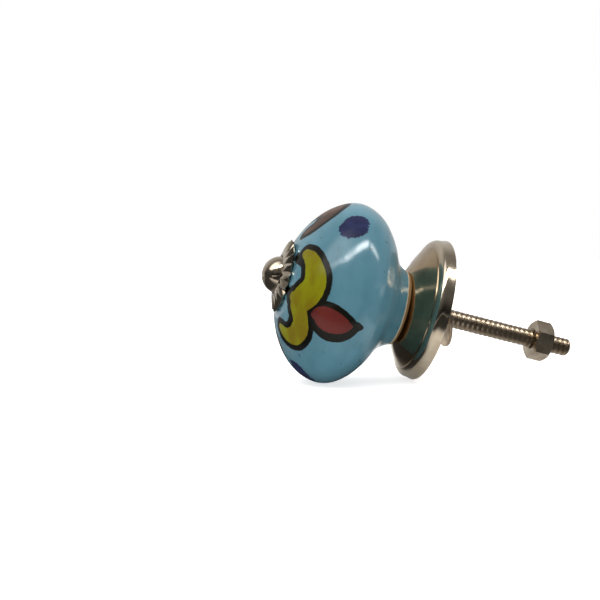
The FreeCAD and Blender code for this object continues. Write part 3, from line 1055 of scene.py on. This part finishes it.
def set_floor():
    """A white table top. Metal and glaze see it as it is lit, and a little lighter."""
    reach = TABLE_REACH
    corners = [(-reach, -reach, 0), (reach, -reach, 0), (reach, reach, 0), (-reach, reach, 0)]
    floor = shaped("table_top", corners, [[0, 1, 2, 3]])
    on_table(floor)
    material, tree, shader = new_material("white table top")
    shader.inputs["Base Color"].default_value = (FLOOR_TONE, FLOOR_TONE, FLOOR_TONE, 1)
    shader.inputs["Roughness"].default_value = 0.8
    shader.inputs["Specular IOR Level"].default_value = 0.1
    shader.inputs["Emission Color"].default_value = (1, 1, 1, 1)
    path = add(tree, "ShaderNodeLightPath")
    away = add(tree, "ShaderNodeVectorMath", {0: object_place(tree)}, operation="LENGTH").outputs["Value"]
    lift = ramp(tree, away, SHADOW_CORE * MM, SHADOW_REACH * MM, SHADOW_LIFT, 1.05)
    lift = times(tree, path.outputs["Is Camera Ray"], lift)
    bounce = times(tree, path.outputs["Is Diffuse Ray"], FLOOR_BOUNCE)
    lift = plus(tree, lift, bounce)
    lift = plus(tree, lift, times(tree, path.outputs["Is Glossy Ray"], FLOOR_SHEEN))
    tree.links.new(lift, shader.inputs["Emission Strength"])
    floor.data.materials.append(material)


def mirrored_only(thing, levels, cover):
    """A studio thing that only metal and glaze see. Each point has its own light and cover, 0 to 1."""
    on_table(thing)
    set_attribute(thing.data, "light", levels)
    set_attribute(thing.data, "cover", cover)
    material, tree = bare_material(thing.name)
    light = add(tree, "ShaderNodeAttribute", attribute_name="light").outputs["Fac"]
    glow = add(tree, "ShaderNodeEmission", {"Color": (1, 1, 1, 1), "Strength": light})
    clear = add(tree, "ShaderNodeBsdfTransparent")
    share = add(tree, "ShaderNodeAttribute", attribute_name="cover").outputs["Fac"]
    mixed = add(tree, "ShaderNodeMixShader", {0: share, 1: clear.outputs[0], 2: glow.outputs[0]})
    out = add(tree, "ShaderNodeOutputMaterial")
    tree.links.new(mixed.outputs[0], out.inputs["Surface"])
    thing.data.materials.append(material)
    thing.visible_camera = False
    thing.visible_diffuse = False
    thing.visible_transmission = False
    thing.visible_shadow = False


def set_room():
    """A big round room: dark on the camera's side, grey overhead and pale on the far side."""
    turns = np.linspace(-math.pi / 2, math.pi / 2, 65)
    outline = [(ROOM_RADIUS * math.cos(turn), ROOM_RADIUS * math.sin(turn)) for turn in turns]
    outline[0], outline[-1] = (0, -ROOM_RADIUS), (0, ROOM_RADIUS)
    room = turned("room", outline, 96)
    x, y, z = mesh_places(room.data).T / ROOM_RADIUS
    far_side = eased(-x, 0.2, 0.75)
    front = eased(-y, 0.35, 0.8) * (1 - eased(z, 0.42, 0.75)) * (1 - far_side)
    dark = np.maximum(eased(x, 0.3, 0.85), front)
    dark_level = 0.015 + 0.1 * eased(z, 0.1, 0.45)
    levels = (0.28 + 0.36 * far_side) * (1 - dark) + dark_level * dark
    mirrored_only(room, levels, np.ones(len(levels)))
    room.visible_diffuse = True


def sheet(name, points, levels, cover):
    """A mirrored sheet from rows of points. All three lists are laid out row by row."""
    rows, columns = cover.shape
    faces = []
    for i in range(rows - 1):
        for j in range(columns - 1):
            first = i * columns + j
            faces.append([first, first + 1, first + columns + 1, first + columns])
    mirrored_only(shaped(name, points, faces), levels.ravel(), cover.ravel())


def faded(share, fade):
    """1 inside a strip of the table or a card, and soft towards its two edges, at shares 0 and 1."""
    return eased(np.minimum(share, 1 - share), 0, fade)


def soft_card(name, corner, across, along, level, fades):
    """A flat card from a corner over two sides. It fades out over a share of each side."""
    shares = np.linspace(0, 1, 25)
    points = [Vector(corner) + Vector(across) * u + Vector(along) * v for u in shares for v in shares]
    cover = np.outer(faded(shares, fades[0]), faded(shares, fades[1]))
    sheet(name, points, np.full(cover.shape, float(level)), cover)


# Painted shade on the table, which only metal and glaze mirror: patches darker than the lamps would make it,
# under and beside the knob and on the camera's side: (x, y, width, length, level, share of the width and of
# the length it fades over).
TABLE_SHADE_PATCHES = [
    (-500, -400, 540, 424, 0.34, 0.06, 0.08),
    (-120, 24, 120, 100, 0.45, 0.1, 0.1),
    # painted shadow of the knob on the table, between the body and the rosette
    (-50, -16, 72, 34, 0.04, 0.15, 0.15),
    # painted shadow of the screw on the table
    (-3, 30, 75, 90, 0.12, 0.12, 0.06),
    (-60, -120, 86, 108, 0.06, 0.2, 0.1),
    # painted shade on the table on the camera's side
    (28, -320, 600, 800, 0.04, 0.03, 0.2),
]
TABLE_SHEET_LIFT = 0.5
TABLE_NEAR = 130.0           # the knob mirrors the table in detail up to here
TABLE_CELLS = (3.0, 12.0)    # near the knob and further off


def table_lines(low, high):
    """Where the table sheet's points lie along one side: close together near the knob."""
    near, far = TABLE_CELLS
    return np.concatenate([
        np.arange(low, -TABLE_NEAR, far),
        np.arange(-TABLE_NEAR, TABLE_NEAR, near),
        np.arange(TABLE_NEAR, high, far),
    ])


def set_table_shade_patches():
    x, y = np.meshgrid(table_lines(-520, 660), table_lines(-420, 510), indexing="ij")
    light = np.zeros(x.shape)
    cover = np.zeros(x.shape)
    for corner_x, corner_y, width, length, level, fade_across, fade_along in TABLE_SHADE_PATCHES:
        patch = faded((x - corner_x) / width, fade_across) * faded((y - corner_y) / length, fade_along)
        light = light * (1 - patch) + level * patch
        cover = cover * (1 - patch) + patch
    points = np.stack([x, y, np.full(x.shape, TABLE_SHEET_LIFT)], axis=-1).reshape(-1, 3)
    sheet("table_shade_patches", points, light / np.maximum(cover, 0.001), cover)


def set_cards():
    """What the knob mirrors above the table."""
    soft_card("dark_card_in_front", (-60, -92, 0.5), (120, 0, 0), (0, 0, 50), 0.06, (0.15, 0.15))
    soft_card("pale_window", (-70, -660, 350), (330, 0, 0), (0, 690, 0), 2.5, (0.25, 0.25))


STRIP_LEVEL = 24.0
STRIP_WIDTH = 0.34           # over the lamp's height, as its places are
STRIP_RUNS = [               # the way along the table, its middle and its share of the full light
    (-1.15, 0.42, 0.3), (-0.8, 0.56, 0.35), (-0.5, 0.63, 0.9), (-0.2, 0.59, 1.0), (0.1, 0.52, 1.0),
    (0.4, 0.45, 1.0), (0.55, 0.43, 0.5), (0.66, 0.43, 0.05), (0.78, 0.43, 0.45), (1.1, 0.46, 0.5),
    (1.7, 0.5, 0.4), (2.4, 0.55, 0.0),
]


def strip_light():
    """A long narrow lamp above the knob, along the table. It is brightest in the middle and has a gap."""
    runs = np.array(STRIP_RUNS)
    along = np.linspace(runs[0][0] - 0.15, runs[-1][0], 120)
    middle = np.interp(along, runs[:, 0], runs[:, 1])
    bright = np.interp(along, runs[:, 0], runs[:, 2], left=0)
    sides = np.linspace(-1, 1, 13)
    x = middle[:, None] + sides * STRIP_WIDTH / 2
    y = np.broadcast_to(along[:, None], x.shape)
    points = np.stack([x, y, np.ones(x.shape)], axis=-1).reshape(-1, 3) * LAMP_HEIGHT
    cover = bright[:, None] * eased(1 - np.abs(sides), 0, 0.9)
    sheet("strip_light", points, np.full(cover.shape, STRIP_LEVEL), cover)


def sky_light():
    """A wide soft lamp overhead, which lights the knob and the table."""
    data = bpy.data.lights.new("sky_light", "AREA")
    data.shape = "SQUARE"
    data.size = SKY_WIDTH * MM
    data.energy = SKY_WATTS
    data.color = (1.0, 0.99, 0.97)
    lamp = bpy.data.objects.new("sky_light", data)
    lamp.matrix_world = Matrix.Translation(Vector((0, -100, SKY_HEIGHT)) * MM)
    on_table(lamp)
    lamp.visible_camera = False
    lamp.visible_glossy = False
    bpy.context.scene.collection.objects.link(lamp)


glazed_body()
pleated_cap()
long_screw()
rosette()
plain_washer()
hexagon_nut()
set_camera()
set_world()
set_floor()
set_room()
set_table_shade_patches()
set_cards()
strip_light()
sky_light()
